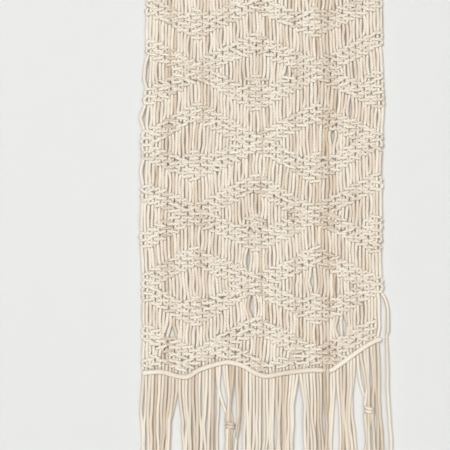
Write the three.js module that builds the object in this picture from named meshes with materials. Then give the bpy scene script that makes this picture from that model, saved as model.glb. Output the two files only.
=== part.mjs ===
// Macrame wall hanging: cotton cords folded over a wooden dowel, knotted into a flat panel that ends on a wavy
// rope, with the cords' tails hanging below it as a fringe. Millimetres, +Z up, -Y to the front.
// The origin is the middle of the dowel's axis, where the hanging is held.
import * as THREE from "three";

// Dowel
const DOWEL_DIAMETER = 20;
const DOWEL_LENGTH = 430;
const DOWEL_CHAMFER = 1.5;
const DOWEL_SIDES = 48;

// Cords: each is folded over the dowel, so it fills one column of the panel with two strands side by side.
const CORD_COUNT = 36;
const CORD_DIAMETER = 4;
const PANEL_WIDTH = 350;
const PANEL_DEPTH = 2 * CORD_DIAMETER;
const COLUMN_PITCH = PANEL_WIDTH / CORD_COUNT;
const COLUMN_GAP = 0.3;
const DOWEL_CLEARANCE = 0.3;
const HEAD_SEGMENTS = 12;

// Wavy rope: its route is given as [x, height above the rope's mean level].
const ROPE_DIAMETER = 6.6;
const ROPE_LEVEL = -730;
const ROPE_SIDES = 10;
const ROPE_STEPS = 72;
const ROPE_ROUTE = [
  [-174, -1.5],
  [-146, 0],
  [-123, -6],
  [-108, -7],
  [-93, 2],
  [-74, 9],
  [-49, 14],
  [-26, 8],
  [-11, -1],
  [5, -6],
  [29, -2],
  [52, 1],
  [77, 3],
  [98, 2],
  [116, 13],
  [138, 29],
  [160, 43],
  [174, 49],
];

// Fringe: the tails of neighbouring cords hang in groups.
const CORDS_PER_GROUP = 2;
const GROUP_COUNT = CORD_COUNT / CORDS_PER_GROUP;
const FRINGE_END = -960;
const FRINGE_UNEVENNESS = 6;
const FRINGE_GAP = 0.4;
const ROPE_CLEARANCE = 1;

const cotton = { color: 0xe6dcc6, roughness: 0.95, metalness: 0 };
const ropeCotton = { color: 0xeee4ce, roughness: 0.9, metalness: 0 };
const beech = { color: 0xc9a27a, roughness: 0.6, metalness: 0 };

const hanging = new THREE.Group();

function addPiece(name, geometry, finish) {
  const piece = new THREE.Mesh(geometry, new THREE.MeshStandardMaterial(finish));
  piece.name = name;
  hanging.add(piece);
  return piece;
}

const numbered = (name, index) => `${name}_${String(index + 1).padStart(2, "0")}`;

const ropeCurve = new THREE.CatmullRomCurve3(
  ROPE_ROUTE.map(([x, rise]) => new THREE.Vector3(x, 0, ROPE_LEVEL + rise)),
);
const ropeLine = ropeCurve.getPoints(600);

// The rope centre's lowest and highest level between two places across the panel.
function ropeLevels(left, right) {
  const near = ropeLine.filter((p) => p.x >= left && p.x <= right).map((p) => p.z);
  const ends = [left, right].map((x) => {
    const distance = (p) => Math.abs(p.x - x);
    return ropeLine.reduce((a, b) => (distance(b) < distance(a) ? b : a)).z;
  });
  return [Math.min(...near, ...ends), Math.max(...near, ...ends)];
}

// A straight round rod along X with a small chamfer at each end.
function makeDowel() {
  const r = DOWEL_DIAMETER / 2;
  const half = DOWEL_LENGTH / 2;
  const profile = [
    [0, -half],
    [r - DOWEL_CHAMFER, -half],
    [r, -half + DOWEL_CHAMFER],
    [r, half - DOWEL_CHAMFER],
    [r - DOWEL_CHAMFER, half],
    [0, half],
  ].map(([radius, along]) => new THREE.Vector2(radius, along));
  const rod = new THREE.LatheGeometry(profile, DOWEL_SIDES);
  rod.rotateZ(-Math.PI / 2);
  return rod;
}

// One cord: the ring of its lark's head round the dowel, and the flat column of its two strands below it.
// The outline lies in the YZ plane and is extruded across the column's width.
function makeCord(index) {
  const left = -PANEL_WIDTH / 2 + index * COLUMN_PITCH;
  const [, ropeTop] = ropeLevels(left, left + COLUMN_PITCH);
  const bottom = ropeTop + ROPE_DIAMETER / 2 + ROPE_CLEARANCE;
  const inner = DOWEL_DIAMETER / 2 + DOWEL_CLEARANCE;
  const outer = inner + CORD_DIAMETER;
  const half = PANEL_DEPTH / 2;
  const neck = Math.asin(half / outer);
  const outline = new THREE.Shape();
  outline.moveTo(-half, bottom);
  outline.lineTo(half, bottom);
  outline.absarc(0, 0, outer, -Math.PI / 2 + neck, (3 * Math.PI) / 2 - neck, false);
  outline.closePath();
  const bore = new THREE.Path();
  bore.absarc(0, 0, inner, 0, 2 * Math.PI, true);
  outline.holes.push(bore);
  const width = COLUMN_PITCH - COLUMN_GAP;
  const column = new THREE.ExtrudeGeometry(outline, {
    depth: width,
    bevelEnabled: false,
    curveSegments: HEAD_SEGMENTS,
  });
  const across = new THREE.Matrix4().makeBasis(
    new THREE.Vector3(0, 1, 0),
    new THREE.Vector3(0, 0, 1),
    new THREE.Vector3(1, 0, 0),
  );
  column.applyMatrix4(across);
  column.translate(left + COLUMN_GAP / 2, 0, 0);
  return column;
}

// The rope along its route, a round section swept along the curve.
function makeRope() {
  const section = new THREE.Shape();
  section.absarc(0, 0, ROPE_DIAMETER / 2, 0, 2 * Math.PI, false);
  return new THREE.ExtrudeGeometry(section, {
    steps: ROPE_STEPS,
    curveSegments: ROPE_SIDES,
    bevelEnabled: false,
    extrudePath: ropeCurve,
  });
}

// One group of tails: a straight block hanging under the rope, cut a little uneven at the bottom.
function makeFringe(group) {
  const pitch = COLUMN_PITCH * CORDS_PER_GROUP;
  const left = -PANEL_WIDTH / 2 + group * pitch;
  const [ropeBottom] = ropeLevels(left, left + pitch);
  const top = ropeBottom - ROPE_DIAMETER / 2 - ROPE_CLEARANCE;
  const bottom = FRINGE_END + FRINGE_UNEVENNESS * Math.sin(2.4 * group);
  const block = new THREE.BoxGeometry(pitch - FRINGE_GAP, PANEL_DEPTH, top - bottom);
  block.translate(left + pitch / 2, 0, (top + bottom) / 2);
  return block;
}

addPiece("dowel", makeDowel(), beech);
for (let i = 0; i < CORD_COUNT; i++) {
  addPiece(numbered("cord", i), makeCord(i), cotton);
}
addPiece("wavy_rope", makeRope(), ropeCotton);
for (let i = 0; i < GROUP_COUNT; i++) {
  addPiece(numbered("fringe", i), makeFringe(i), cotton);
}

export default hanging;
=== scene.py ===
"""Macrame wall hanging: cotton cords folded over a dowel and knotted into a panel, with a fringe below.

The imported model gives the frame. The dowel's axis runs along X through the origin, the hanging hangs down
along -Z and its front faces -Y. Lengths are in metres.
"""

import logging
import math
from dataclasses import dataclass, field
from enum import Enum
from typing import ClassVar

import bpy
import numpy as np
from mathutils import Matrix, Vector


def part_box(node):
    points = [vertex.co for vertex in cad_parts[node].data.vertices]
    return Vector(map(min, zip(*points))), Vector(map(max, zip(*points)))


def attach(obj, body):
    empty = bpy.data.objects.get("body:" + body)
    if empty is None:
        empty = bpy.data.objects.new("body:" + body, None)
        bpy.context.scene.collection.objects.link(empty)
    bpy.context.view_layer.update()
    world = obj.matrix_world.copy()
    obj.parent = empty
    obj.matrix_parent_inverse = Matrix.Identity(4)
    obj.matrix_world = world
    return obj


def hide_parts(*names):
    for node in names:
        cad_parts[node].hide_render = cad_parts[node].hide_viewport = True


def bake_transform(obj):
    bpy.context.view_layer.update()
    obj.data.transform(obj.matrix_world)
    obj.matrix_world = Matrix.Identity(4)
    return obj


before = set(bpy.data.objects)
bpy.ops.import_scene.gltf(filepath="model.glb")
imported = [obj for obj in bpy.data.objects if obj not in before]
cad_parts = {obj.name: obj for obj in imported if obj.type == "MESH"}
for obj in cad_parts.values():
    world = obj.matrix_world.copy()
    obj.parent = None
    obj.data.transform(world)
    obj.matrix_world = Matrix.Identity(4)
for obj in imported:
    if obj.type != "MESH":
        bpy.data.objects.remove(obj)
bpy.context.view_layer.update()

LOG = logging.getLogger("wall_hanging")
MM = 0.001
TINY = 1e-9
SHORTEST_SPAN = 1e-6
SIDE_AXIS = np.array([0.31, 0.93, 0.19])
Colour = tuple[float, float, float]
Span = tuple[float, float]

# A Mix node's numbered sockets for colours.
MIX_FACTOR, MIX_LOW, MIX_HIGH, MIX_RESULT = 0, 6, 7, 2


# --------------------------------------------------------------------------------------------------
# Shader maths
# --------------------------------------------------------------------------------------------------


class Signal:
    """A value on its way through a material's nodes; arithmetic on it adds Math nodes."""

    def __init__(self, bench: "Bench", socket: bpy.types.NodeSocket) -> None:
        """Wrap one output socket.

        Args:
            bench: the material's bench, which adds nodes.
            socket: the output that carries the value.
        """
        self.bench = bench
        self.socket = socket

    def math(self, operation: str, *others: "Signal | float") -> "Signal":
        """A Math node on this value and the others.

        Args:
            operation: the Math node's operation.
            others: its second and third values.

        Returns:
            The result.
        """
        inputs = dict(enumerate((self, *others)))
        return self.bench.value("ShaderNodeMath", {"operation": operation}, inputs)

    def __add__(self, other: "Signal | float") -> "Signal":
        """This plus other."""
        return self.math("ADD", other)

    __radd__ = __add__

    def __sub__(self, other: "Signal | float") -> "Signal":
        """This minus other."""
        return self.math("SUBTRACT", other)

    def __rsub__(self, other: float) -> "Signal":
        """Other minus this."""
        return self.bench.value("ShaderNodeMath", {"operation": "SUBTRACT"}, {0: other, 1: self})

    def __mul__(self, other: "Signal | float") -> "Signal":
        """This times other."""
        return self.math("MULTIPLY", other)

    __rmul__ = __mul__

    def __truediv__(self, other: "Signal | float") -> "Signal":
        """This over other."""
        return self.math("DIVIDE", other)

    def __pow__(self, other: "Signal | float") -> "Signal":
        """This to the power of other."""
        return self.math("POWER", other)

    def clamped(self) -> "Signal":
        """This value held between 0 and 1."""
        return self.math("MINIMUM", 1.0).math("MAXIMUM", 0.0)


class Bench:
    """Where one material's nodes are put together."""

    def __init__(self, name: str) -> None:
        """Start an empty material.

        Args:
            name: the material's name.
        """
        self.material = bpy.data.materials.new(name)
        self.material.use_nodes = True
        self.tree = self.material.node_tree
        self.tree.nodes.clear()

    def node(self, kind: str, settings: dict | None = None, inputs: dict | None = None) -> bpy.types.Node:
        """Add one node.

        Args:
            kind: the node's type.
            settings: its properties, set first.
            inputs: values, signals or sockets for its inputs, by name or number.

        Returns:
            The node.
        """
        node = self.tree.nodes.new(kind)
        for key, value in (settings or {}).items():
            setattr(node, key, value)
        for key, value in (inputs or {}).items():
            if isinstance(value, Signal):
                value = value.socket
            if isinstance(value, bpy.types.NodeSocket):
                self.tree.links.new(value, node.inputs[key])
            else:
                node.inputs[key].default_value = value
        return node

    def value(
        self, kind: str, settings: dict | None = None, inputs: dict | None = None, output: int | str = 0
    ) -> Signal:
        """Add one node and take one of its outputs.

        Args:
            kind: the node's type.
            settings: its properties.
            inputs: its inputs.
            output: the name or number of the output to take.

        Returns:
            That output.
        """
        return Signal(self, self.node(kind, settings, inputs).outputs[output])

    def mix(self, factor: Signal | float, low: Signal | Colour, high: Signal | Colour) -> Signal:
        """Mix two colours.

        Args:
            factor: how much of high there is.
            low: the colour at factor 0.
            high: the colour at factor 1.

        Returns:
            The mixed colour.
        """
        settings = {"data_type": "RGBA", "blend_type": "MIX", "clamp_factor": True}
        sides = {MIX_LOW: low, MIX_HIGH: high}
        sides = {key: side if isinstance(side, Signal) else (*side, 1.0) for key, side in sides.items()}
        return self.value("ShaderNodeMix", settings, {MIX_FACTOR: factor, **sides}, output=MIX_RESULT)

    def noise(self, vector: Signal, scale: float, detail: float = 2.0, roughness: float = 0.5) -> Signal:
        """Noise from 0 to 1 at the places that vector gives.

        Args:
            vector: the places.
            scale: spots per metre.
            detail: how many finer layers are added.
            roughness: how strong the finer layers are.

        Returns:
            The noise value.
        """
        inputs = {"Vector": vector, "Scale": scale, "Detail": detail, "Roughness": roughness}
        return self.value("ShaderNodeTexNoise", {"noise_dimensions": "3D"}, inputs)

    def split(self, vector: Signal) -> tuple[Signal, Signal, Signal]:
        """The three parts of a vector."""
        node = self.node("ShaderNodeSeparateXYZ", inputs={0: vector})
        return tuple(Signal(self, node.outputs[k]) for k in range(3))

    def join(self, x: Signal | float, y: Signal | float, z: Signal | float) -> Signal:
        """A vector of three values."""
        return self.value("ShaderNodeCombineXYZ", inputs={0: x, 1: y, 2: z})

    def finish(self, shader: bpy.types.Node) -> bpy.types.Material:
        """Send a shader to the material's output.

        Args:
            shader: the last shader node.

        Returns:
            The finished material.
        """
        output = self.tree.nodes.new("ShaderNodeOutputMaterial")
        self.tree.links.new(shader.outputs[0], output.inputs["Surface"])
        return self.material


# --------------------------------------------------------------------------------------------------
# Finishes
# --------------------------------------------------------------------------------------------------


@dataclass(frozen=True)
class CottonFinish:
    """Twisted natural cotton: plies that wind round the cord, fibres along them, and uneven colour.

    The relief is how far the plies, the fibres and the fuzz stand out. A scale is spots per metre, and a
    run is how fast a pattern changes along the cord. The grooves between the plies carry painted shade,
    and the darker tan stands for both the cotton's real tan and painted shade between strands.
    """

    name: str
    pale: Colour = (0.80, 0.752, 0.663)
    # The darker colour, for both the cotton's real tan and painted shade between strands.
    tan_and_shade: Colour = (0.48, 0.36, 0.245)
    # Painted shade: the colour that the grooves between the plies are darkened towards.
    groove_shade: Colour = (0.51, 0.385, 0.255)
    groove_shade_share: float = 0.5
    groove_shade_power: float = 2.0
    plies: int = 3
    lay: float = 13 * MM
    fibre_scale: float = 3.5
    fibre_run: float = 90.0
    fibre_share: float = 0.35
    fuzz_scale: float = 1900.0
    noise_roughness: float = 0.6
    stain_run: float = 11.0
    stain_spread: float = 60.0
    stain_share: float = 0.85
    relief: tuple[float, float, float] = (0.7, 0.45, 0.18)
    bump: float = 0.8
    bump_height: float = 0.7 * MM
    roughness: float = 0.8
    roughness_spread: float = 0.15
    specular: float = 0.2
    sheen: float = 0.25
    sheen_roughness: float = 0.5
    sheen_tint: Colour = (1.0, 0.96, 0.88)

    def material(self) -> bpy.types.Material:
        """Make the material.

        The mesh's UV map gives the way round the cord as u, from 0 to 1, and along it as v, in metres. A
        ply's phase is plies times u plus v over the ply pitch, and its crown is the absolute sine of half
        a turn of that phase. The fibres are noise on a circle that turns with the plies, so they follow
        the plies and have no seam.

        Returns:
            The cotton material.
        """
        bench = Bench(self.name)
        u, v, _ = bench.split(bench.value("ShaderNodeUVMap", {"uv_map": "lay"}))
        phase = u * float(self.plies) + v / (self.lay / self.plies)
        crown = (phase * math.pi).math("SINE").math("ABSOLUTE")
        turn = (u + v / self.lay) * math.tau
        circle = bench.join(turn.math("COSINE"), turn.math("SINE"), v * self.fibre_run)
        fibres = bench.noise(circle, self.fibre_scale, 3.0, self.noise_roughness)
        place = bench.value("ShaderNodeTexCoord", output="Object")
        fuzz = bench.noise(place, self.fuzz_scale, 2.0, self.noise_roughness)
        tint = bench.value("ShaderNodeAttribute", {"attribute_name": "tint"}, output="Fac")
        stain = bench.noise(bench.join(v * self.stain_run, tint * self.stain_spread, 0.0), 1.0)
        # The tint holds the cotton's real tan and the painted shade between strands, so this mix paints
        # both.
        tone_and_shade = ((stain - 0.5) * self.stain_share + tint + (fibres - 0.5) * self.fibre_share).clamped()
        colour = bench.mix(tone_and_shade, self.pale, self.tan_and_shade)
        # Painted shade: the grooves between the plies are darkened, as if shadowed.
        depth = (1.0 - crown) ** self.groove_shade_power
        colour = bench.mix(depth * self.groove_shade_share, colour, self.groove_shade)
        ply_rise, fibre_rise, fuzz_rise = self.relief
        height = crown * ply_rise + fibres * fibre_rise + fuzz * fuzz_rise
        bump = bench.value(
            "ShaderNodeBump", inputs={"Strength": self.bump, "Distance": self.bump_height, "Height": height}
        )
        cloth = bench.node(
            "ShaderNodeBsdfPrincipled",
            inputs={
                "Base Color": colour,
                "Roughness": (fibres * self.roughness_spread + self.roughness).clamped(),
                "Specular IOR Level": self.specular,
                "Sheen Weight": self.sheen,
                "Sheen Roughness": self.sheen_roughness,
                "Sheen Tint": (*self.sheen_tint, 1.0),
                "Normal": bump,
            },
        )
        return bench.finish(cloth)


@dataclass(frozen=True)
class WoodFinish:
    """Pale turned beech: long grain along the rod, short flecks and slightly darker end faces.

    A stretch is how fast a pattern changes along the rod, as a share of how fast it changes across it.
    """

    name: str
    pale: Colour = (0.62, 0.42, 0.25)
    dark: Colour = (0.40, 0.24, 0.125)
    grain_scale: float = 260.0
    grain_stretch: float = 0.06
    grain_roughness: float = 0.65
    grain_dark: float = 0.75
    fleck_scale: float = 900.0
    fleck_stretch: float = 0.35
    fleck_roughness: float = 0.6
    fleck_dark: float = 0.35
    pith: Span = (-14 * MM, 5 * MM)
    ring_scale: float = 3200.0
    ring_waver: float = 5.0
    ring_dark: float = 0.22
    end_dark: float = 0.35
    base_dark: float = -0.12
    relief: Span = (0.6, 0.4)
    bump: float = 0.25
    bump_height: float = 0.2 * MM
    roughness: float = 0.45
    roughness_spread: float = 0.2

    def material(self) -> bpy.types.Material:
        """Make the material: grain is noise stretched along X, and the end faces are darker.

        The growth rings are a sine of the distance from the pith's line, which the grain makes waver.

        Returns:
            The wood material.
        """
        bench = Bench(self.name)
        x, y, z = bench.split(bench.value("ShaderNodeTexCoord", output="Object"))
        long, short = (bench.join(x * share, y, z) for share in (self.grain_stretch, self.fleck_stretch))
        grain = bench.noise(long, self.grain_scale, 4.0, self.grain_roughness)
        fleck = bench.noise(short, self.fleck_scale, 2.0, self.fleck_roughness)
        off_pith = bench.join(0.0, y - self.pith[0], z - self.pith[1])
        radius = bench.value("ShaderNodeVectorMath", {"operation": "LENGTH"}, {0: off_pith}, output="Value")
        rings = (radius * self.ring_scale + grain * self.ring_waver).math("SINE") * 0.5 + 0.5
        facing = bench.split(bench.value("ShaderNodeNewGeometry", output="Normal"))[0].math("ABSOLUTE")
        shade = grain * self.grain_dark + (fleck - 0.5) * self.fleck_dark + rings * self.ring_dark
        shade = (shade + facing * self.end_dark + self.base_dark).clamped()
        colour = bench.mix(shade, self.pale, self.dark)
        height = grain * self.relief[0] + fleck * self.relief[1]
        bump = bench.value(
            "ShaderNodeBump", inputs={"Strength": self.bump, "Distance": self.bump_height, "Height": height}
        )
        wood = bench.node(
            "ShaderNodeBsdfPrincipled",
            inputs={
                "Base Color": colour,
                "Roughness": (grain * self.roughness_spread + self.roughness).clamped(),
                "Normal": bump,
            },
        )
        return bench.finish(wood)


@dataclass(frozen=True)
class PlainFinish:
    """A matt painted surface for the room, which shows on its front only when it is one-sided."""

    name: str
    colour: Colour
    one_sided: bool = False
    roughness: float = 0.9

    def material(self) -> bpy.types.Material:
        """Make the material; the back of a one-sided surface lets the view and the light through.

        Returns:
            The matt material.
        """
        bench = Bench(self.name)
        look = {"Base Color": (*self.colour, 1.0), "Roughness": self.roughness}
        paint = bench.node("ShaderNodeBsdfPrincipled", inputs=look)
        if not self.one_sided:
            return bench.finish(paint)
        clear = bench.node("ShaderNodeBsdfTransparent")
        behind = bench.value("ShaderNodeNewGeometry", output="Backfacing")
        sides = {0: behind, 1: paint.outputs[0], 2: clear.outputs[0]}
        return bench.finish(bench.node("ShaderNodeMixShader", inputs=sides))


# --------------------------------------------------------------------------------------------------
# Curves and tubes
# --------------------------------------------------------------------------------------------------


def smooth_curve(points: np.ndarray, per_span: int) -> np.ndarray:
    """A smooth curve through control points.

    It is a centripetal Catmull-Rom curve: the parameter grows by the square root of each span, and each
    span is a cubic whose end slopes come from the spans on both sides. A fourth column, such as a radius,
    goes along.

    Args:
        points: control points as rows, with the place in the first three columns.
        per_span: samples for each span.

    Returns:
        The curve's points as rows.
    """
    span = np.linalg.norm(np.diff(points[:, :3], axis=0), axis=1)
    step = np.sqrt(np.maximum(span, SHORTEST_SPAN))[:, None]
    slope = np.diff(points, axis=0) / step
    across = (points[2:] - points[:-2]) / (step[1:] + step[:-1])
    inner = slope[:-1] - across + slope[1:]
    tangent = np.vstack([slope[:1], inner, slope[-1:]])
    t = (np.arange(per_span) / per_span)[None, :, None]
    start, end = points[:-1, None, :], points[1:, None, :]
    rise, fall = (tangent[:-1] * step)[:, None, :], (tangent[1:] * step)[:, None, :]
    curve = (
        (2 * t**3 - 3 * t**2 + 1) * start
        + (t**3 - 2 * t**2 + t) * rise
        + (3 * t**2 - 2 * t**3) * end
        + (t**3 - t**2) * fall
    )
    return np.vstack([curve.reshape(-1, points.shape[1]), points[-1:]])


def arc_lengths(curve: np.ndarray) -> np.ndarray:
    """The distance along a curve at each of its points."""
    steps = np.linalg.norm(np.diff(curve[:, :3], axis=0), axis=1)
    return np.concatenate([[0.0], np.cumsum(steps)])


def at_places(curve: np.ndarray, known: np.ndarray, wanted: np.ndarray) -> np.ndarray:
    """Every column of a curve, read at other places along it.

    Args:
        curve: the curve's points as rows.
        known: the growing measure at each row.
        wanted: the measures to read at.

    Returns:
        One row for each wanted measure.
    """
    return np.stack([np.interp(wanted, known, column) for column in curve.T], axis=1)


def thinned(curve: np.ndarray, longest: float, turn: float) -> np.ndarray:
    """The same curve with fewer points: close together in bends and far apart where it runs straight.

    The need for points grows along the curve by each step's length over the longest step, plus its change
    of direction over the allowed turn. The new points share that need out evenly, at about one for each
    point.

    Args:
        curve: closely spaced points as rows.
        longest: the longest step on a straight run, in metres.
        turn: the allowed change of direction for each step, in radians.

    Returns:
        The thinned curve's points as rows.
    """
    steps = np.diff(curve[:, :3], axis=0)
    length = np.maximum(np.linalg.norm(steps, axis=1), TINY)
    heading = steps / length[:, None]
    bend = np.arccos(np.clip(np.sum(heading[1:] * heading[:-1], axis=1), -1, 1))
    bend = np.concatenate([bend, bend[-1:]])
    need = np.concatenate([[0.0], np.cumsum(length / longest + bend / turn)])
    return at_places(curve, need, np.linspace(0, need[-1], math.ceil(need[-1])))


def carried_frames(curve: np.ndarray) -> tuple[np.ndarray, np.ndarray, np.ndarray]:
    """Directions along and across a curve that turn with it as little as possible.

    A first cross direction comes from one fixed axis at each point. The turn between each point's
    direction and the one carried over from the point before is measured, summed along the curve and taken
    out again.

    Args:
        curve: the curve's points as rows.

    Returns:
        The unit tangents and the two unit cross directions, each as rows.
    """
    tangent = np.gradient(curve[:, :3], axis=0)
    tangent /= np.maximum(np.linalg.norm(tangent, axis=1, keepdims=True), TINY)
    first = np.cross(tangent, SIDE_AXIS)
    first /= np.maximum(np.linalg.norm(first, axis=1, keepdims=True), TINY)
    second = np.cross(tangent, first)
    middle = tangent[:-1] + tangent[1:]
    middle /= np.maximum(np.linalg.norm(middle, axis=1, keepdims=True), TINY)
    carried = first[:-1] - 2 * np.sum(first[:-1] * middle, axis=1, keepdims=True) * middle
    turned = carried - 2 * np.sum(carried * tangent[1:], axis=1, keepdims=True) * tangent[1:]
    spin = np.arctan2(np.sum(turned * second[1:], axis=1), np.sum(turned * first[1:], axis=1))
    total = np.concatenate([[0.0], np.cumsum(spin)])[:, None]
    return (
        tangent,
        first * np.cos(total) + second * np.sin(total),
        second * np.cos(total) - first * np.sin(total),
    )


@dataclass
class TubeMesh:
    """A closed tube's vertices, faces and its map round and along the cord."""

    places: np.ndarray
    corners: np.ndarray
    starts: np.ndarray
    lay: np.ndarray

    @staticmethod
    def along(curve: np.ndarray, section: np.ndarray) -> "TubeMesh":
        """Carry a section along a curve and close both ends with a pole.

        A vertex is the curve's point plus the radius times the cosine of the angle in the first cross
        direction and the sine in the second. The radius is the curve's fourth column times the section's
        share there.

        Args:
            curve: points as rows, with the radius in the fourth column.
            section: the radius as a share, by angle, or by point and angle.

        Returns:
            The tube.
        """
        rings, sides = len(curve), section.shape[-1]
        _, first, second = carried_frames(curve)
        angle = np.arange(sides) / sides * math.tau
        radius = (curve[:, 3:4] * section)[..., None]
        cosine, sine = np.cos(angle)[None, :, None], np.sin(angle)[None, :, None]
        ring = first[:, None] * cosine + second[:, None] * sine
        walls = (curve[:, None, :3] + radius * ring).reshape(-1, 3)
        places = np.vstack([walls, curve[:1, :3], curve[-1:, :3]])
        row, side = np.meshgrid(np.arange(rings - 1), np.arange(sides), indexing="ij")
        row, side = row.ravel(), side.ravel()
        after = (side + 1) % sides
        here, below = row * sides, (row + 1) * sides
        quads = np.stack([here + side, here + after, below + after, below + side])
        k = np.arange(sides)
        last = (rings - 1) * sides
        bottom = np.stack([np.full(sides, rings * sides), (k + 1) % sides, k])
        top = np.stack([np.full(sides, rings * sides + 1), last + k, last + (k + 1) % sides])
        along = arc_lengths(curve)
        quad_lay = np.stack(
            [
                np.stack([side, side + 1, side + 1, side]) / sides,
                np.stack([along[row], along[row], along[row + 1], along[row + 1]]),
            ]
        )
        cap_round = np.stack([k + 0.5, k + 1, k]) / sides
        caps = [np.stack([cap_round, np.full((3, sides), place)]) for place in (0.0, along[-1])]
        corners = np.concatenate([quads.T.ravel(), bottom.T.ravel(), top.T.ravel()])
        lay = np.concatenate([part.transpose(2, 1, 0).reshape(-1, 2) for part in (quad_lay, *caps)])
        sizes = np.concatenate([np.full(len(row), 4), np.full(2 * sides, 3)])
        return TubeMesh(places, corners, np.concatenate([[0], np.cumsum(sizes)[:-1]]), lay)

    # The mask of the painted shade between strands: the sides of a cord that face its neighbours.
    def crevices(self, curve: np.ndarray, sharpness: float = 2.5) -> np.ndarray:
        """How much each vertex looks to the side rather than to the panel's front or back.

        It is one less the square of the outward direction's Y part, to the power of the sharpness.

        Args:
            curve: the tube's centreline as rows.
            sharpness: how narrow the marked sides are.

        Returns:
            One share for each vertex, with zero at the two poles.
        """
        sides = (len(self.places) - 2) // len(curve)
        out = self.places[:-2] - np.repeat(curve[:, :3], sides, axis=0)
        forward = out[:, 1] / np.maximum(np.linalg.norm(out, axis=1), TINY)
        return np.concatenate([(1 - forward**2) ** sharpness, [0.0, 0.0]])

    def piece(self, name: str, material: bpy.types.Material, tint: float | np.ndarray) -> bpy.types.Object:
        """Put the tube into the scene as one object at the origin.

        Args:
            name: the piece's name.
            material: its finish.
            tint: how tan the cotton is, with any painted shade between strands added, for the whole piece
                or at each vertex.

        Returns:
            The object.
        """
        mesh = bpy.data.meshes.new(name)
        mesh.vertices.add(len(self.places))
        mesh.vertices.foreach_set("co", self.places.astype(np.float32).ravel())
        mesh.loops.add(len(self.corners))
        mesh.loops.foreach_set("vertex_index", self.corners.astype(np.int32))
        mesh.polygons.add(len(self.starts))
        mesh.polygons.foreach_set("loop_start", self.starts.astype(np.int32))
        mesh.uv_layers.new(name="lay").data.foreach_set("uv", self.lay.astype(np.float32).ravel())
        shades = np.broadcast_to(np.asarray(tint, dtype=np.float32), (len(self.places),))
        tints = mesh.attributes.new("tint", "FLOAT", "POINT")
        tints.data.foreach_set("value", np.ascontiguousarray(shades))
        mesh.update(calc_edges=True)
        mesh.validate()
        mesh.shade_smooth()
        mesh.materials.append(material)
        piece = bpy.data.objects.new(name, mesh)
        bpy.context.scene.collection.objects.link(piece)
        return piece


def ripple(rng: np.random.Generator, along: np.ndarray, waves: Span) -> np.ndarray:
    """A smooth irregular wave, mostly within 1 of zero: the mean of three random sines, times 1.5.

    Args:
        rng: the random source.
        along: where to read it, in metres.
        waves: the shortest and longest wave, in metres.

    Returns:
        The wave at each place.
    """
    parts, gain = 3, 1.5
    lengths = rng.uniform(*waves, parts)[:, None]
    phases = rng.uniform(0, math.tau, parts)[:, None]
    return np.sin(along[None, :] / lengths * math.tau + phases).mean(axis=0) * gain


@dataclass(frozen=True)
class Shading:
    """How tan the cords are, from 0 to 1: most are pale and some tan, and each one drifts along its length.

    The tan and the pale cords each have a mean and a spread.
    """

    tan: Span = (0.5, 0.1)
    pale: Span = (0.14, 0.06)
    drift: float = 0.15
    waves: Span = (120 * MM, 500 * MM)

    def tints(self, rng: np.random.Generator, curve: np.ndarray, sides: int, tan_odds: float) -> np.ndarray:
        """How tan each vertex of a cord's tube is.

        Args:
            rng: the random source.
            curve: the cord's points as rows.
            sides: vertices in each ring.
            tan_odds: how likely the cord is a tan one.

        Returns:
            One value for each vertex of the tube, with those of its two poles at the end.
        """
        kind = self.tan if rng.random() < tan_odds else self.pale
        base = rng.normal(*kind)
        rings = np.clip(base + ripple(rng, arc_lengths(curve), self.waves) * self.drift, 0, 1)
        return np.concatenate([np.repeat(rings, sides), rings[[0, -1]]])


# --------------------------------------------------------------------------------------------------
# The object
# --------------------------------------------------------------------------------------------------


class Face(Enum):
    """Which side of the panel a cord crosses a knot on."""

    FRONT = -1
    BACK = 1


@dataclass
class RopeLine:
    """The route of the rope that runs in a wave along the panel's bottom edge."""

    level: float = -730 * MM
    depth: float = -2.2 * MM
    samples: int = 12
    route: tuple[tuple[float, float], ...] = (
        (-174 * MM, -1.5 * MM),
        (-146 * MM, 0.0),
        (-123 * MM, -6 * MM),
        (-108 * MM, -7 * MM),
        (-93 * MM, 2 * MM),
        (-74 * MM, 9 * MM),
        (-49 * MM, 14 * MM),
        (-26 * MM, 8 * MM),
        (-11 * MM, -1 * MM),
        (5 * MM, -6 * MM),
        (29 * MM, -2 * MM),
        (52 * MM, 1 * MM),
        (77 * MM, 3 * MM),
        (98 * MM, 2 * MM),
        (116 * MM, 13 * MM),
        (138 * MM, 29 * MM),
        (160 * MM, 43 * MM),
        (174 * MM, 49 * MM),
    )

    def curve(self) -> np.ndarray:
        """The rope's centreline, as closely spaced points in rows."""
        points = np.array([[x, self.depth, self.level + rise] for x, rise in self.route])
        return smooth_curve(points, self.samples)

    def height(self, x: np.ndarray | float) -> np.ndarray:
        """The level of the rope's centre at places across the panel."""
        line = self.curve()
        return np.interp(x, line[:, 0], line[:, 2])


@dataclass(frozen=True)
class Wave:
    """A slow wave: its size, how far it goes across and up in one radian, and its phase."""

    size: float
    across: float
    up: float
    phase: float = 0.0

    def at(self, x: np.ndarray, z: np.ndarray) -> np.ndarray:
        """The size times the sine of x over its run across, plus z over its run up, plus the phase."""
        return self.size * np.sin(x / self.across + z / self.up + self.phase)


@dataclass(frozen=True)
class Opening:
    """A place in the panel where the strands hang apart."""

    middle: float
    level: float
    push: float
    width: float = 6.5 * MM
    height: float = 10 * MM

    def moves(self, x: np.ndarray, z: np.ndarray) -> np.ndarray:
        """How far it pushes points sideways: its push times the offset over its width, under a bell curve.

        Args:
            x: the points' places across the panel.
            z: their levels.

        Returns:
            The sideways move of each point.
        """
        off = (x - self.middle) / self.width
        return self.push * off * np.exp(-(off**2) - ((z - self.level) / self.height) ** 2)


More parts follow.
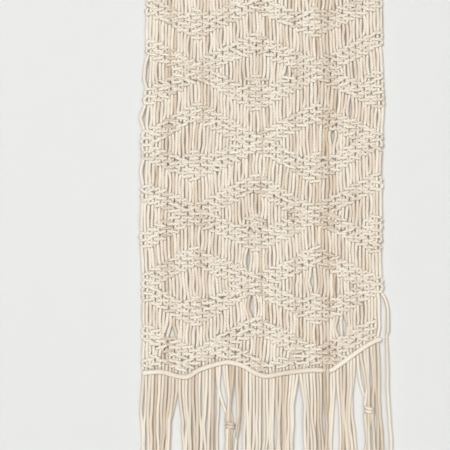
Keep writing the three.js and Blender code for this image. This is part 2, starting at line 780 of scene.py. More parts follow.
@dataclass
class KnotPlan:
    """Which groups of four strands are knotted in which rows, and where each knot lies.

    Group g ties the strands in places 2g to 2g+3. Four zigzag bands, each a few rows high, repeat every
    period of rows. They cross the panel between crests, and short columns of knots stand in the diamonds'
    middles. At a group's distance from the crest, the bands' middle rows are that distance, the second
    band's row plus it, the third band's row less it, and the period less it. The sways, swells and dips
    are the waves by which the panel is out of true sideways, backward and upwards.
    """

    columns: np.ndarray
    rope: RopeLine
    row_pitch: float = 4.92 * MM
    row_zero: float = -396.9 * MM
    first_row: int = -76
    last_row: int = 72
    full_rows: int = 2
    period: int = 42
    second_band: int = 12
    third_band: int = 30
    reach: int = 2
    crest: int = 16
    fold: int = 9
    patch_first: int = 3
    patch_rows: int = 5
    patch_width: float = 13 * MM
    patch_height: float = 13 * MM
    patch_pull: float = 0.3
    edge_free_row: int = 45
    rope_room: float = 8.5 * MM
    rope_rows: int = 3
    seed: int = 11
    spread: tuple[float, float, float] = (0.4 * MM, 0.26 * MM, 0.42 * MM)
    tilting: float = 0.09
    half_width: float = 175 * MM
    fade: float = 60 * MM
    sways: tuple[Wave, ...] = (Wave(1.3 * MM, math.inf, 57 * MM, 1.0), Wave(0.9 * MM, 40 * MM, 23 * MM))
    swells: tuple[Wave, ...] = (Wave(1.4 * MM, 50 * MM, 90 * MM),)
    dips: tuple[Wave, ...] = (Wave(1.6 * MM, 38 * MM, 150 * MM), Wave(1.1 * MM, 19 * MM, -61 * MM))
    left_drop: float = 2.5 * MM
    lean: float = 8 * MM
    lean_level: float = -200 * MM
    lean_height: float = 120 * MM
    openings: tuple[Opening, ...] = (
        Opening(35 * MM, -300 * MM, 8 * MM),
        Opening(103 * MM, -388 * MM, 9 * MM),
        Opening(126 * MM, -353 * MM, 8 * MM),
        Opening(-20 * MM, -571 * MM, 9 * MM),
        Opening(-15 * MM, -635 * MM, 11 * MM),
        Opening(-132 * MM, -672 * MM, 14 * MM),
        Opening(54 * MM, -709 * MM, 13 * MM),
        Opening(115 * MM, -664 * MM, 10 * MM),
        Opening(72 * MM, -600 * MM, 8 * MM),
        Opening(-62 * MM, -432 * MM, 6 * MM),
    )
    rows: np.ndarray = field(init=False)
    knotted: np.ndarray = field(init=False)
    shift: np.ndarray = field(init=False)
    tilt: np.ndarray = field(init=False)

    def __post_init__(self) -> None:
        """Work out the rows, the knots and how far each knot is off its place."""
        self.rows = np.arange(self.first_row, self.last_row + 1)
        self.knotted = self._knots()
        rng = np.random.default_rng(self.seed)
        self.shift = rng.normal(0, 1, (*self.knotted.shape, 3)) * np.array(self.spread)
        self.tilt = rng.normal(0, self.tilting, self.knotted.shape)

    @property
    def pitch(self) -> float:
        """The distance between two cords' columns."""
        return float((self.columns[-1] - self.columns[0]) / (len(self.columns) - 1))

    @property
    def groups(self) -> int:
        """How many groups of four strands lie side by side, half overlapping."""
        return len(self.columns) - 1

    def centre(self, group: np.ndarray | int) -> np.ndarray:
        """The middle of a group of four strands."""
        return self.columns[0] + (np.asarray(group) + 0.5) * self.pitch

    def level(self, row: np.ndarray | float) -> np.ndarray:
        """The height of a row of knots."""
        return self.row_zero - np.asarray(row) * self.row_pitch

    def _knots(self) -> np.ndarray:
        """Mark the knotted groups in every row.

        The distance from a crest, folded back at every half diamond, shifts each band's middle row. A
        group is knotted where a row is within reach of a band's middle and the sum of group and row is
        even. The first rows, the rows at the rope and the patches inside the diamonds are knotted too.

        Returns:
            True for each group and row with a knot, with one empty group added on both sides.
        """
        group = np.arange(self.groups)[:, None]
        row = self.rows[None, :]
        away = np.abs(group - self.crest)
        away = np.where(away > self.fold, 2 * self.fold - away, away)
        half = self.period // 2
        marks = np.zeros((self.groups, len(self.rows)), bool)
        for middle in (away, self.second_band + away, self.third_band - away, self.period - away):
            off = (row - middle + half) % self.period - half
            marks |= np.abs(off) <= self.reach
        top = row < self.first_row + self.full_rows
        above = self.level(row) - self.rope.height(self.centre(group)) - self.rope_room
        near_rope = above < self.rope_rows * self.row_pitch
        marks = (marks | top | near_rope) & ((group + row) % 2 == 0)
        for first, middle in ((self.patch_first, self.fold), (half + 1, 0)):
            inside = (row % self.period >= first) & (row % self.period < first + self.patch_rows)
            near = (np.abs(away - middle) <= 1) & ((group + row) % 2 == 0)
            marks |= inside & near
        marks &= above > 0
        marks[-1] &= self.rows < self.edge_free_row
        return np.pad(marks, ((1, 1), (0, 0)))

    def patches(self) -> list[tuple[float, float]]:
        """The middles of the small knotted patches inside the diamonds, as places across and levels."""
        sides = (self.crest - self.fold, self.crest + self.fold)
        found = []
        for first, groups in ((self.patch_first, sides), (self.period // 2 + 1, (self.crest,))):
            middle = first + self.patch_rows // 2
            starts = range(middle - 2 * self.period, self.last_row, self.period)
            found += [(float(self.centre(g)), float(self.level(row))) for row in starts for g in groups]
        return found

    def warp(self, points: np.ndarray) -> np.ndarray:
        """Pull the even grid out of true, as hand knotting does.

        Slow waves move the points, and the left side hangs lower and leans in; both fade out at the rope
        and at the dowel. The cords draw together at each patch by a share that falls off as a bell curve,
        and the openings push them apart.

        Args:
            points: points as rows, with the place in the first three columns.

        Returns:
            The moved points.
        """
        x, z = points[:, 0], points[:, 2]
        hang = np.clip((z - self.rope.level) / self.fade, 0, 1) * np.clip(-z / self.fade, 0, 1)
        left = np.clip(-x / self.half_width, 0, 1)
        leaning = left**2 * np.exp(-(((z - self.lean_level) / self.lean_height) ** 2))
        moved = points.copy()
        moved[:, 0] += (sum(wave.at(x, z) for wave in self.sways) + self.lean * leaning) * hang
        moved[:, 1] += sum(wave.at(x, z) for wave in self.swells) * hang
        moved[:, 2] += (sum(wave.at(x, z) for wave in self.dips) - self.left_drop * left) * hang
        for middle, level in self.patches():
            off = x - middle
            share = np.exp(-((off / self.patch_width) ** 2) - ((z - level) / self.patch_height) ** 2)
            moved[:, 0] -= self.patch_pull * off * share
        for opening in self.openings:
            moved[:, 0] += opening.moves(x, z)
        return moved


@dataclass
class Strand:
    """One half of a cord: its way down from the dowel through the knots to the rope."""

    plan: KnotPlan
    place: int
    home: float = 2.25 * MM
    squeeze: float = 2.0 * MM
    tight_radius: float = 2.28 * MM
    loose_radius: float = 2.7 * MM
    knot_span: float = 0.9
    looseness: float = 0.6
    ease_rows: int = 3
    free_rows: int = 2
    slack: float = 0.55 * MM
    slack_waves: Span = (45 * MM, 120 * MM)
    stagger: float = 1.0 * MM
    depth_sway: float = 1.0 * MM
    depth_waves: Span = (35 * MM, 90 * MM)
    bunching: float = 0.75 * MM
    bunch_width: float = 4.1 * MM
    bunch_sways: tuple[Wave, ...] = (Wave(2.5, math.inf, 47 * MM), Wave(1.7, math.inf, 19 * MM))
    edge_bulge: float = 2.0 * MM
    bulge_shares: Span = (0.4, 1.3)
    stray_reach: float = 8.5 * MM
    stray_levels: Span = (-606 * MM, -644 * MM)
    hump_reach: float = 5 * MM
    hump_levels: Span = (-225 * MM, -470 * MM)
    hump_power: float = 0.6
    front_cord: int = 27
    behind_rope: float = 3.3 * MM
    over_rope: float = -7.6 * MM
    least_drop: float = 1 * MM

    # The way over and round a knot for the strand in front and the one behind: sideways and backward in
    # millimetres, and up in rows. It starts on the side +1 and ends on the side -1.
    passes: ClassVar[dict[Face, tuple[tuple[float, float, float], ...]]] = {
        Face.FRONT: (
            (7.2, -0.2, 0.49),
            (7.1, -2.5, 0.26),
            (4.4, -4.1, 0.12),
            (1.5, -3.4, -0.07),
            (0.0, -2.1, 0.0),
            (-1.5, -3.4, 0.07),
            (-4.4, -4.0, -0.12),
            (-7.1, -2.0, -0.22),
            (-7.2, 0.2, -0.46),
        ),
        Face.BACK: (
            (7.3, -2.0, 0.42),
            (7.6, 0.6, 0.12),
            (4.9, 3.6, 0.0),
            (0.0, 3.9, 0.0),
            (-4.9, 3.4, 0.0),
            (-7.5, 0.4, -0.1),
            (-7.2, -2.0, -0.4),
        ),
    }
    # The way to the rope: the share of the rope depth reached, and the height over the rope in millimetres.
    ending: ClassVar[tuple[Span, ...]] = ((0.55, 5.2), (1.0, 1.5), (1.0, 0.0))

    @property
    def group(self) -> int:
        """The group in which this strand does the tying."""
        return self.place // 2 if self.place % 2 == 0 else (self.place - 3) // 2

    @property
    def start_side(self) -> int:
        """The side of its group that it starts on."""
        return -1 if self.place % 2 == 0 else 1

    @property
    def reach(self) -> float:
        """How far from its group's middle it hangs."""
        return self.plan.pitch / 2 + self.home

    @property
    def rope_depth(self) -> float:
        """How far behind or before the panel's plane the strand passes the rope."""
        return self.over_rope if self.place // 2 == self.front_cord else self.behind_rope

    def path(self) -> np.ndarray:
        """The strand's control points from below the dowel to behind the rope.

        In a row where its own group is knotted it crosses to the other side. In a row where the group
        beside it is knotted it goes straight through that knot. Between knots it hangs free and wanders a
        little.

        Returns:
            Points as rows, with the radius in the fourth column.
        """
        plan, group = self.plan, self.group
        rows, marks = plan.rows, plan.knotted
        own = marks[group + 1] if 0 <= group < plan.groups else np.zeros(len(rows), bool)
        side = self.start_side * (-1) ** (np.cumsum(own) - own)
        beside = np.clip(group + side, -1, plan.groups)
        passive = marks[beside + 1, np.arange(len(rows))] & ~own
        runs = (
            (*self._tying_points(np.nonzero(own)[0], side), self.tight_radius),
            (*self._straight_points(np.nonzero(passive)[0], beside, side), self.tight_radius),
            (*self._free_points(own | passive, own, side), self.loose_radius),
        )
        points = np.vstack([np.column_stack([run, np.full(len(run), radius)]) for run, _, radius in runs])
        order = np.argsort(np.concatenate([keys for _, keys, _ in runs]), kind="stable")
        points = plan.warp(points[order])
        return np.vstack([points, self._end_points(points[-1], side[-1])])

    def _tying_points(self, where: np.ndarray, side: np.ndarray) -> tuple[np.ndarray, np.ndarray]:
        """Points where the strand ties: its pass, mirrored by side, and shifted and tilted with each knot.

        Args:
            where: the numbers of the rows in which it ties.
            side: the side it is on above each row.

        Returns:
            The points and their order along the strand.
        """
        plan, group = self.plan, self.group
        shape = np.array(self.passes[Face.FRONT if self.place % 2 == 0 else Face.BACK])
        across, back, up = shape.T[:, None]
        off = plan.shift[group + 1, where]
        points = np.empty((len(where), len(shape), 3))
        points[..., 0] = plan.centre(group) + off[:, None, 0] + side[where, None] * across * MM
        points[..., 1] = off[:, None, 1] + back * MM
        points[..., 2] = plan.level(plan.rows[where])[:, None] + off[:, None, 2] + up * plan.row_pitch
        points[..., 2] += plan.tilt[group + 1, where, None] * across * MM
        order = np.linspace(-self.knot_span / 2, self.knot_span / 2, len(shape))
        return points.reshape(-1, 3), (plan.rows[where, None] + order[None, :]).ravel()

    def _straight_points(
        self, where: np.ndarray, beside: np.ndarray, side: np.ndarray
    ) -> tuple[np.ndarray, np.ndarray]:
        """Points where the strand goes straight through the knots of the group beside its own.

        Args:
            where: the numbers of the rows in which it does.
            beside: the group beside its own, by row.
            side: the side it is on above each row.

        Returns:
            The points and their order along the strand.
        """
        plan = self.plan
        points = plan.shift[beside[where] + 1, where] * self.looseness
        points[:, 0] += plan.centre(beside[where]) - side[where] * self.squeeze
        points[:, 2] += plan.level(plan.rows[where])
        return points, plan.rows[where].astype(float)

    def _free_points(
        self, busy: np.ndarray, own: np.ndarray, side: np.ndarray
    ) -> tuple[np.ndarray, np.ndarray]:
        """Points where the strand hangs free between knots, and in the bulges of the panel's edge.

        Args:
            busy: whether the strand is in a knot, by row.
            own: whether it ties the knot itself, by row.
            side: the side it is on above each row.

        Returns:
            The points and their order along the strand.
        """
        plan, rows, group = self.plan, self.plan.rows, self.group
        rng = np.random.default_rng([plan.seed, self.place])
        level = plan.level(rows)
        away = np.abs(rows[:, None] - rows[busy][None, :]).min(axis=1)
        outside = (group + side < 0) | (group + side > plan.groups - 1)
        loops = outside & ~own & np.roll(own, 1) & np.roll(own, -1)
        free = (away >= self.free_rows) & (rows % 2 == self.place // 2 % 2)
        low = level > plan.rope.height(plan.centre(group)) + plan.rope_room
        chosen = (free | loops) & low
        ease = np.clip(away / self.ease_rows, 0, 1)
        x = plan.centre(group) + side * self.reach
        x = x + ripple(rng, level, self.slack_waves) * self.slack * ease
        sway = sum(wave.at(x, level) for wave in self.bunch_sways)
        x = x + self.bunching * np.sin(x / self.bunch_width + sway) * ease * (~outside)
        x = x + np.where(loops, side * self.edge_bulge * rng.uniform(*self.bulge_shares, len(rows)), 0)
        depth = self.stagger if self.place % 2 else -self.stagger
        y = (ripple(rng, level, self.depth_waves) * self.depth_sway + depth) * ease
        if group == plan.groups - 1:
            x = x + self._stray(level) * (side > 0)
        if group == 0:
            x = x - self._hump(level) * ease**2 * (side < 0)
        points = np.column_stack([x, y, level])[chosen]
        return points, rows[chosen].astype(float)

    def _stray(self, level: np.ndarray) -> np.ndarray:
        """How far the last strand swings out of the panel's edge: a smooth step that stays out."""
        start, full = self.stray_levels
        share = np.clip((start - level) / (start - full), 0, 1)
        return self.stray_reach * share**2 * (3 - 2 * share)

    def _hump(self, level: np.ndarray) -> np.ndarray:
        """How far the first strand bulges out of the panel's edge: a power of half a sine."""
        top, bottom = self.hump_levels
        share = np.clip((level - bottom) / (top - bottom), 0, 1)
        return self.hump_reach * np.sin(share * math.pi) ** self.hump_power

    def _end_points(self, last: np.ndarray, side: int) -> np.ndarray:
        """The last points, which bring the strand behind or over the rope.

        Args:
            last: the last point in the panel.
            side: the side of its group that the strand has ended on.

        Returns:
            Points as rows.
        """
        own_last = self.plan.knotted[self.group + 1][-1] if 0 <= self.group < self.plan.groups else False
        side = -side if own_last else side
        x = self.plan.centre(self.group) + side * self.reach
        level = self.plan.rope.height(x)
        if self.group == self.plan.groups - 1 and side > 0:
            x = x + self.stray_reach
        depth, radius = self.rope_depth, self.tight_radius
        near = np.array([[x, share * depth, level + rise * MM, radius] for share, rise in self.ending])
        return near[near[:, 2] < last[2] - self.least_drop]


@dataclass
class LarksHead:
    """The hitch by which a folded cord holds the dowel: a bar in front, and two halves over and round.

    The turn is the angle about the dowel, in degrees, at which the turn over it starts and ends.
    """

    dowel_radius: float
    cord_radius: float = 2.0 * MM
    clearance: float = 0.3 * MM
    spacing: float = 2.4 * MM
    turn: Span = (236, -28)
    turn_points: int = 12

    # The way before and after the turn over the dowel: outwards, backward and up in millimetres, and the
    # radius as a share of the cord's.
    leg: ClassVar[tuple[tuple[float, ...], ...]] = (
        (2.6, -12.1, -12.9, 0.9),
        (3.7, -9.4, -14.6, 0.74),
        (3.7, -4.2, -15.0, 0.74),
        (3.3, 1.2, -13.2, 0.74),
    )
    neck: ClassVar[tuple[tuple[float, ...], ...]] = (
        (1.7, -7.4, -13.6, 0.74),
        (1.8, -3.4, -18.4, 0.9),
    )
    bar_middle: ClassVar[tuple[float, ...]] = (0.0, -12.4, -12.6, 0.95)

    def half(self, x: float, side: int) -> np.ndarray:
        """One half of the hitch, from the bar in front round the dowel to the strand below.

        The turn over the dowel is an arc whose radius is the dowel's plus the cord's and the clearance.

        Args:
            x: the middle of the cord's column.
            side: -1 for the left strand and 1 for the right one.

        Returns:
            Points as rows, with the radius in the fourth column.
        """
        radius = self.dowel_radius + self.cord_radius + self.clearance
        angle = np.radians(np.linspace(*self.turn, self.turn_points))
        count = len(angle)
        across, thick = np.full(count, side * self.spacing), np.full(count, self.cord_radius)
        arc = np.column_stack([across, -radius * np.cos(angle), radius * np.sin(angle), thick])
        scale = np.array([side * MM, MM, MM, self.cord_radius])
        points = np.vstack([np.array(self.leg) * scale, arc, np.array(self.neck) * scale])
        points[:, 0] += x
        return points

    def bar(self, x: float) -> np.ndarray:
        """The middle of the bar in front."""
        return np.array([self.bar_middle]) * [MM, MM, MM, self.cord_radius] + [x, 0, 0, 0]


@dataclass
class KnottedPanel:
    """The cords, each one tube from the rope up through the knots, round the dowel and down again."""

    plan: KnotPlan
    head: LarksHead
    finish: CottonFinish
    shading: Shading = Shading()
    tan_odds: float = 0.28
    samples: int = 6
    longest_step: float = 5.5 * MM
    turn_step: float = math.radians(19)
    sides: int = 8
    painted_crevice_shade: float = 0.8
    painted_shade_waves: Span = (70 * MM, 220 * MM)
    tight_share: float = 0.3
    loose_radii: Span = (2.3 * MM, 2.65 * MM)
    knot_pale: float = 0.09
    seed: int = 5

    def cord_curve(self, index: int) -> np.ndarray:
        """One cord's centreline.

        Args:
            index: the cord's number from the left, from 0.

        Returns:
            Points as rows, with the radius in the fourth column.
        """
        x = float(self.plan.columns[index])
        left = Strand(self.plan, 2 * index).path()
        right = Strand(self.plan, 2 * index + 1).path()
        hitch = (self.head.half(x, -1)[::-1], self.head.bar(x), self.head.half(x, 1))
        points = np.vstack([left[::-1], *hitch, right])
        return thinned(smooth_curve(points, self.samples), self.longest_step, self.turn_step)

    def _painted_shade(self, curve: np.ndarray, tube: TubeMesh, rng: np.random.Generator) -> np.ndarray:
        """The painted shade in the crevices between strands, and the paler tint of the tight knots.

        The shade is painted as more tan on the sides of each strand that face its neighbours. A loose
        strand's sides take all of it and a tight one's the tight share of it. Both come and go along the
        cord.

        Args:
            curve: the cord's points as rows, thinner where it is pulled tight.
            tube: the cord's tube.
            rng: the random source of the stretches with more and less painted shade.

        Returns:
            The change of tint at each vertex.
        """
        thin, thick = self.loose_radii
        loose = np.clip((curve[:, 3] - thin) / (thick - thin), 0, 1)
        patchy = 1 + ripple(rng, arc_lengths(curve), self.painted_shade_waves)
        side_shade = self.painted_crevice_shade * (self.tight_share + (1 - self.tight_share) * loose) * patchy
        rings = np.stack([side_shade, loose], axis=1)
        side_shade, loose = np.vstack([np.repeat(rings, self.sides, axis=0), rings[[0, -1]]]).T
        return side_shade * tube.crevices(curve) - self.knot_pale * (1 - loose)

    def build(self) -> list[bpy.types.Object]:
        """Make every cord and hang it on the panel's body.

        Returns:
            The cords.
        """
        material = self.finish.material()
        rng = np.random.default_rng(self.seed)
        pieces = []
        for index in range(len(self.plan.columns)):
            curve = self.cord_curve(index)
            tube = TubeMesh.along(curve, np.ones(self.sides))
            # Painted shade: the cord's real tan, plus more tan on its sides where shade falls between
            # strands.
            tint = self.shading.tints(rng, curve, self.sides, self.tan_odds) + self._painted_shade(curve, tube, rng)
            piece = tube.piece(f"knotted_cord_{index + 1:02d}", material, tint)
            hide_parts(f"cord_{index + 1:02d}")
            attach(piece, "panel")
            pieces.append(piece)
        return pieces


@dataclass
class WavyRope:
    """The thicker rope along the panel's bottom edge: three soft plies wound together."""

    line: RopeLine
    finish: CottonFinish
    radius: float = 3.55 * MM
    sides: int = 24
    step: float = 1.5 * MM
    end_run: float = 2 * MM
    end_share: float = 0.15
    core: float = 0.96
    lobe: float = 0.05
    lobe_power: float = 0.8
    tint: float = 0.24

    def build(self) -> bpy.types.Object:
        """Make the rope; its section has a rounded lobe for each ply and turns once in each lay length.

        Returns:
            The rope.
        """
        centre = self.line.curve()
        curve = np.column_stack([centre, np.full(len(centre), self.radius)])
        along = arc_lengths(curve)
        curve = at_places(curve, along, np.arange(0, along[-1], self.step))
        along = arc_lengths(curve)
        ends = np.minimum(along, along[-1] - along) / self.end_run
        curve[:, 3] *= np.sqrt(np.clip(ends, self.end_share, 1))
        angle = np.arange(self.sides) / self.sides * math.tau
        turn = angle[None, :] - along[:, None] / self.finish.lay * math.tau
        section = self.core + self.lobe * np.abs(np.cos(self.finish.plies / 2 * turn)) ** self.lobe_power
        piece = TubeMesh.along(curve, section).piece("twisted_rope", self.finish.material(), self.tint)
        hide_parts("wavy_rope")
        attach(piece, "panel")
        return piece


@dataclass(frozen=True)
class Parting:
    """A gap in the fringe, where the tails hang apart."""

    middle: float
    strength: float
    width: float
    starts: float = 5 * MM


@dataclass(frozen=True)
class Gathering:
    """Four neighbouring tails drawn together, with one of them wound round the other three."""

    group: int
    lean: float
    depth: float
    turns: float = 2.0
    turn_points: int = 12
    core: float = 2.5 * MM
    core_angle: float = 0.4
    wrap: float = 5.4 * MM
    rise: float = 4.5 * MM
    lead: float = 2.5 * MM
    lead_angle: float = 1.5
    ease_in: float = 6 * MM
    ease_out: float = 10 * MM
    ease_run: float = 150 * MM
    release: float = 0.45
    room: float = 5 * MM

    @property
    def height(self) -> float:
        """How far the helix comes down."""
        return self.rise * self.turns + 2 * self.lead

    def pull(self, depth: np.ndarray) -> np.ndarray:
        """How far a tail is drawn to its place in the bundle: all the way at the knot, and less below it.

        It grows as the square of the depth down to the knot, and falls evenly below it.

        Args:
            depth: how far below the rope.

        Returns:
            A share at each depth.
        """
        drawn = np.clip(depth / (self.depth - self.ease_in), 0, 1) ** 2
        return drawn - np.clip((depth - self.depth - self.ease_out) / self.ease_run, 0, self.release)

    def winding(self, middle: float, top: float, radius: float) -> np.ndarray:
        """The helix round the bundle, which starts and ends straight down.

        Its fall is the rise times the turns made, plus the lead times the square root of the angle over
        the lead angle at the start, and the same mirrored at the end.

        Args:
            middle: the bundle's middle across the fringe.
            top: the level where it starts.
            radius: the cord's radius.

        Returns:
            Points as rows, with the radius in the fourth column.
        """
        whole = math.tau * self.turns
        angle = np.linspace(0, whole, int(self.turn_points * self.turns) + 1)
        inward = np.sqrt(np.clip(angle / self.lead_angle, 0, 1))
        outward = 1 - np.sqrt(np.clip((whole - angle) / self.lead_angle, 0, 1))
        fall = self.rise * angle / math.tau + self.lead * (inward + outward)
        across, depth = middle - self.wrap * np.cos(angle), -self.wrap * np.sin(angle)
        return np.column_stack([across, depth, top - fall, np.full(len(angle), radius)])


@dataclass
class Fringe:
    """The free tails of all strands below the rope.

    A ripple is its size and its shortest and longest wave. The tan odds are those away from the tan
    places and what is added at them. The depths at which a tail has points are a few close to the rope,
    and then the first, the end and the step of the others.
    """

    plan: KnotPlan
    finish: CottonFinish
    shading: Shading = Shading()
    length: float = 232 * MM
    uneven: float = 7 * MM
    diameter: float = 4.8 * MM
    layer: float = 2.0 * MM
    layer_spread: float = 0.6 * MM
    calm_run: float = 24 * MM
    splay: float = 0.035
    ease_run: float = 80 * MM
    ease_power: float = 1.3
    long_ripple: tuple[float, Span] = (2.0 * MM, (90 * MM, 260 * MM))
    short_ripple: tuple[float, Span] = (0.4 * MM, (26 * MM, 60 * MM))
    depth_ripple: tuple[float, Span] = (0.7 * MM, (50 * MM, 120 * MM))
    first_depths: tuple[float, ...] = (0.0, 3.5 * MM, 8 * MM, 14 * MM)
    other_depths: tuple[float, float, float] = (22 * MM, 250 * MM, 9 * MM)
    samples: int = 8
    step: float = 2.4 * MM
    end_run: float = 1.6 * MM
    end_share: float = 0.12
    bend_run: float = 18 * MM
    cords_per_group: int = 2
    painted_crevice_shade: float = 0.4
    sides: int = 10
    seed: int = 23
    partings: tuple[Parting, ...] = (
        Parting(-122 * MM, 9 * MM, 13 * MM, 22 * MM),
        Parting(-57 * MM, 4.5 * MM, 8 * MM),
        Parting(-31 * MM, 3.5 * MM, 8 * MM, 60 * MM),
        Parting(53 * MM, 9 * MM, 13 * MM),
        Parting(106 * MM, 5 * MM, 8 * MM, 25 * MM),
        Parting(142 * MM, 8 * MM, 11 * MM, 12 * MM),
    )
    parting_run: float = 45 * MM
    parting_power: float = 1.2
    tan_places: tuple[float, ...] = (-145 * MM, -100 * MM, -43 * MM, 26 * MM, 88 * MM, 120 * MM, 168 * MM)
    tan_width: float = 9 * MM
    tan_odds: Span = (0.06, 0.8)
    tan_point: int = 20
    gatherings: tuple[Gathering, ...] = (
        Gathering(7, 2 * MM, 84 * MM),
        Gathering(17, 9 * MM, 88 * MM),
    )

    def _drift(self, x: float, depth: np.ndarray) -> np.ndarray:
        """How far the partings push a tail aside at each depth.

        Each parting pushes by its strength, which falls off with the distance over its width and grows
        with the depth below its start.

        Args:
            x: where the tail leaves the rope.
            depth: how far below the rope.

        Returns:
            The sideways move at each depth.
        """
        total = np.zeros(len(depth))
        for part in self.partings:
            off = x - part.middle
            push = part.strength * math.copysign(math.exp(-abs(off) / part.width), off)
            total += push * np.clip((depth - part.starts) / self.parting_run, 0, 1) ** self.parting_power
        return total

    def _gathered(self, points: np.ndarray, place: int, start: np.ndarray) -> np.ndarray:
        """Draw a tail into its group's gathering, if it has one, and wind the first tail round the others.

        The tails that are wound round stand evenly about the bundle's middle, and the first tail starts
        its helix at the left.

        Args:
            points: the tail's points as rows, with the radius in the fourth column.
            place: the strand's place from the left.
            start: where the tail leaves the rope.

        Returns:
            The changed points.
        """
        per_group = 2 * self.cords_per_group
        for knot in self.gatherings:
            if place // per_group != knot.group - 1:
                continue
            middle = float(np.mean(self.plan.columns[(knot.group - 1) * 2 : knot.group * 2])) + knot.lean
            depth = start[2] - points[:, 2]
            member = place % per_group
            angle = math.tau * member / (per_group - 1) + knot.core_angle
            spot = np.array([middle + knot.core * math.cos(angle), knot.core * math.sin(angle)])
            if member == 0:
                spot = np.array([middle - knot.wrap, 0.0])
            moved = points.copy()
            moved[:, :2] += (spot - moved[:, :2]) * knot.pull(depth)[:, None]
            if member:
                return moved
            above = moved[depth < knot.depth - knot.room]
            winding = knot.winding(middle, start[2] - knot.depth, self.diameter / 2)
            below = moved[depth > knot.depth + knot.height + knot.room]
            return np.vstack([above, winding, below])
        return points

    def tail_curve(self, place: int, start: np.ndarray) -> np.ndarray:
        """One tail's centreline, cut to its length.

        It hangs down from its strand's end. Partings push the tails aside more the lower they hang, and
        slow ripples make it wander. Every second tail hangs in a layer behind the others.

        Args:
            place: the strand's place from the left.
            start: where the strand ends, with its radius.

        Returns:
            Points as rows, with the radius in the fourth column.
        """
        rng = np.random.default_rng([self.seed, place])
        length = self.length + rng.uniform(-1, 1) * self.uneven
        depth = np.concatenate([self.first_depths, np.arange(*self.other_depths)])
        ease = np.clip(depth / self.ease_run, 0, 1) ** self.ease_power
        x = start[0] * (1 + self.splay * depth / self.length) + self._drift(float(start[0]), depth)
        for size, waves in (self.long_ripple, self.short_ripple):
            x = x + ripple(rng, depth, waves) * size * ease
        spread = rng.uniform(-self.layer_spread, self.layer_spread)
        layer = (self.layer if place % 2 else -self.layer) + spread
        calm = np.clip(depth / self.calm_run, 0, 1)
        size, waves = self.depth_ripple
        y = start[1] * (1 - calm) + layer * calm + ripple(rng, depth, waves) * size * ease
        points = np.column_stack([x, y, start[2] - depth, np.full(len(depth), self.diameter / 2)])
        points[0, 3] = start[3]
        curve = smooth_curve(self._gathered(points, place, start), self.samples)
        places = np.append(np.arange(0, length, self.step), length)
        curve = at_places(curve, arc_lengths(curve), places)
        left = np.clip((length - places) / self.end_run, self.end_share, 1)
        curve[:, 3] *= np.sqrt(left)
        return curve

    def build(self) -> list[bpy.types.Object]:
        """Make every tail in place of its group's CAD fringe, which is hidden.

        Returns:
            The tails.
        """
        material = self.finish.material()
        pieces = []
        count = 2 * len(self.plan.columns)
        for place in range(count):
            strand = Strand(self.plan, place)
            start = strand.path()[-1]
            curve = self.tail_curve(place, start)
            group = place // (2 * self.cords_per_group) + 1
            tube = TubeMesh.along(curve, np.ones(self.sides))
            # Painted shade: the tails' sides that face their neighbours are made more tan, where shade
            # falls.
            tint = self._tint(place, curve) + self.painted_crevice_shade * tube.crevices(curve)
            piece = tube.piece(f"tail_{place + 1:02d}", material, tint)
            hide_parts(f"fringe_{group:02d}")
            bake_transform(piece)
            self._is_declared(place)
            pieces.append(piece)
        return pieces

    def _tint(self, place: int, curve: np.ndarray) -> np.ndarray:
        """How tan a tail is; the odds of a tan one are higher near the tan places, by a bell curve.

        Args:
            place: the strand's place from the left.
            curve: the tail's centreline.

        Returns:
            One value for each vertex of its tube.
        """
        near = min(abs(float(curve[self.tan_point, 0]) - tan) for tan in self.tan_places)
        base, extra = self.tan_odds
        odds = base + extra * math.exp(-((near / self.tan_width) ** 2))
        return self.shading.tints(np.random.default_rng([self.seed + 1, place]), curve, self.sides, odds)

    def _is_declared(self, place: int) -> bool:
        """Whether a tail is one of every second tail, but none that is wound round others."""
        gathered = place // (2 * self.cords_per_group) + 1 in {knot.group for knot in self.gatherings}
        return place % 2 == int(gathered)


@dataclass
class Dowel:
    """The wooden rod: the CAD node itself with a wood finish."""

    finish: WoodFinish
    node: str = "dowel"

    def dress(self) -> bpy.types.Object:
        """Give the CAD node its wood.

        Returns:
            The node's object.
        """
        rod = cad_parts[self.node]
        rod.data.materials.clear()
        rod.data.materials.append(self.finish.material())
        return rod

    def radius(self) -> float:
        """The rod's radius, from its box."""
        low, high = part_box(self.node)
        return float(high[2] - low[2]) / 2


@dataclass(frozen=True)
class Lamp:
    """A square soft lamp: where it stands, its power in watts and its width."""

    name: str
    place: tuple[float, float, float]
    power: float
    size: float

    def stand(self, target: np.ndarray) -> bpy.types.Object:
        """Make the lamp and face it to a target.

        Args:
            target: the point that it faces.

        Returns:
            The lamp.
        """
        data = bpy.data.lights.new(self.name, "AREA")
        data.energy = self.power
        data.size = self.size
        lamp = bpy.data.objects.new(self.name, data)
        lamp.location = self.place
        way = target - np.array(self.place)
        yaw = math.atan2(way[0], -way[1])
        pitch = math.atan2(math.hypot(way[0], way[1]), -way[2])
        lamp.rotation_euler = (pitch, 0.0, yaw + math.pi)
        bpy.context.scene.collection.objects.link(lamp)
        return lamp


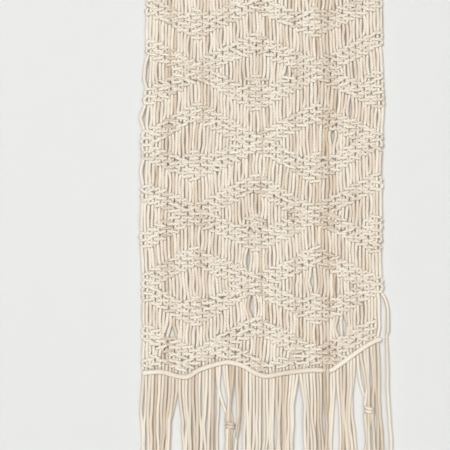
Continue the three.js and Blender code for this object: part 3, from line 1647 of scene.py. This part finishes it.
@dataclass
class Studio:
    """A plain pale room with soft light, and the camera in front."""

    eye: tuple[float, float, float] = (-0.0537, -2.6, -0.517)
    lens: float = 143.4
    sensor: float = 36.0
    clip_end: float = 30.0
    floor_level: float = -1.45
    wall_place: float = 7.4 * MM
    wall_setback: float = 22 * MM
    wall_steps: Span = (-90 * MM, -45 * MM)
    wall_size: float = 4.0
    wall_top: float = 2.2
    paint: Colour = (0.63, 0.635, 0.627)
    sky: Colour = (1.0, 0.995, 0.985)
    sky_strength: float = 0.16
    lit: tuple[float, float, float] = (0.0, 0.0, -0.5)
    lamps: tuple[Lamp, ...] = (
        Lamp("key_lamp", (-1.2, -5.7, 0.9), 256.0, 1.9),
        Lamp("fill_lamp", (1.3, -5.7, -0.4), 112.0, 2.4),
        Lamp("back_lamp", (1.4, 4.2, 0.6), 75.0, 2.4),
    )

    def camera(self) -> bpy.types.Object:
        """Put the camera level in front of the panel.

        Returns:
            The camera.
        """
        data = bpy.data.cameras.new("camera")
        data.lens = self.lens
        data.sensor_width = self.sensor
        data.clip_end = self.clip_end
        camera = bpy.data.objects.new("camera", data)
        camera.location = self.eye
        camera.rotation_euler = (math.radians(90), 0.0, 0.0)
        bpy.context.scene.collection.objects.link(camera)
        bpy.context.scene.camera = camera
        return camera

    def surface(self, name: str, profile: list[Span], finish: PlainFinish) -> bpy.types.Object:
        """One surface of the room: a profile of depths and levels, drawn out to both sides.

        Args:
            name: its name.
            profile: its depths and levels, so that its front is -Y going up and +Z going back.
            finish: its paint.

        Returns:
            The surface.
        """
        half = self.wall_size
        corners = [(x, y, z) for y, z in profile for x in (-half, half)]
        faces = [(2 * k, 2 * k + 1, 2 * k + 3, 2 * k + 2) for k in range(len(profile) - 1)]
        mesh = bpy.data.meshes.new(name)
        mesh.from_pydata(corners, [], faces)
        mesh.materials.append(finish.material())
        surface = bpy.data.objects.new(name, mesh)
        bpy.context.scene.collection.objects.link(surface)
        return surface

    def room(self) -> None:
        """Make the floor, and a wall close behind the panel that stands back behind the dowel.

        The wall shows from its front only, and it keeps no light from the panel's back.
        """
        half, floor, wall, back = self.wall_size, self.floor_level, self.wall_place, self.wall_setback
        low, high = self.wall_steps
        self.surface("floor", [(-half, floor), (half, floor)], PlainFinish("pale_floor", self.paint))
        profile = [(wall, floor), (wall, low), (back, high), (back, self.wall_top)]
        face = self.surface("wall", profile, PlainFinish("pale_wall", self.paint, one_sided=True))
        face.visible_shadow = False

    def light(self) -> None:
        """Light the room: an even dim sky, soft lamps in front on both sides, and one behind the wall."""
        world = bpy.data.worlds.new("sky")
        world.use_nodes = True
        background = world.node_tree.nodes["Background"]
        background.inputs["Color"].default_value = (*self.sky, 1.0)
        background.inputs["Strength"].default_value = self.sky_strength
        bpy.context.scene.world = world
        for lamp in self.lamps:
            lamp.stand(np.array(self.lit))
        bpy.context.scene.view_settings.view_transform = "Standard"


def column_centres() -> np.ndarray:
    """The middle of each cord's column, from the CAD columns' boxes."""
    names = sorted(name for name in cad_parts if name.startswith("cord_"))
    boxes = [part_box(name) for name in names]
    return np.array([(float(low[0]) + float(high[0])) / 2 for low, high in boxes])


def main() -> None:
    """Make the camera, the tails, the panel, the rope, the dowel and the room, and report each piece."""
    logging.basicConfig(level=logging.INFO, format="%(message)s")
    studio = Studio()
    studio.camera()
    rope = RopeLine()
    plan = KnotPlan(column_centres(), rope)
    pieces = Fringe(plan, CottonFinish("fringe_cotton")).build()
    dowel = Dowel(WoodFinish("beech"))
    head = LarksHead(dowel.radius())
    pieces += KnottedPanel(plan, head, CottonFinish("cord_cotton")).build()
    rope_finish = CottonFinish("rope_cotton", lay=34 * MM, groove_shade_share=0.2, bump=0.4)
    pieces.append(WavyRope(rope, rope_finish).build())
    pieces.append(dowel.dress())
    studio.room()
    studio.light()
    for piece in pieces:
        LOG.info("%s: %d faces", piece.name, len(piece.data.polygons))


if __name__ == "__main__":
    main()
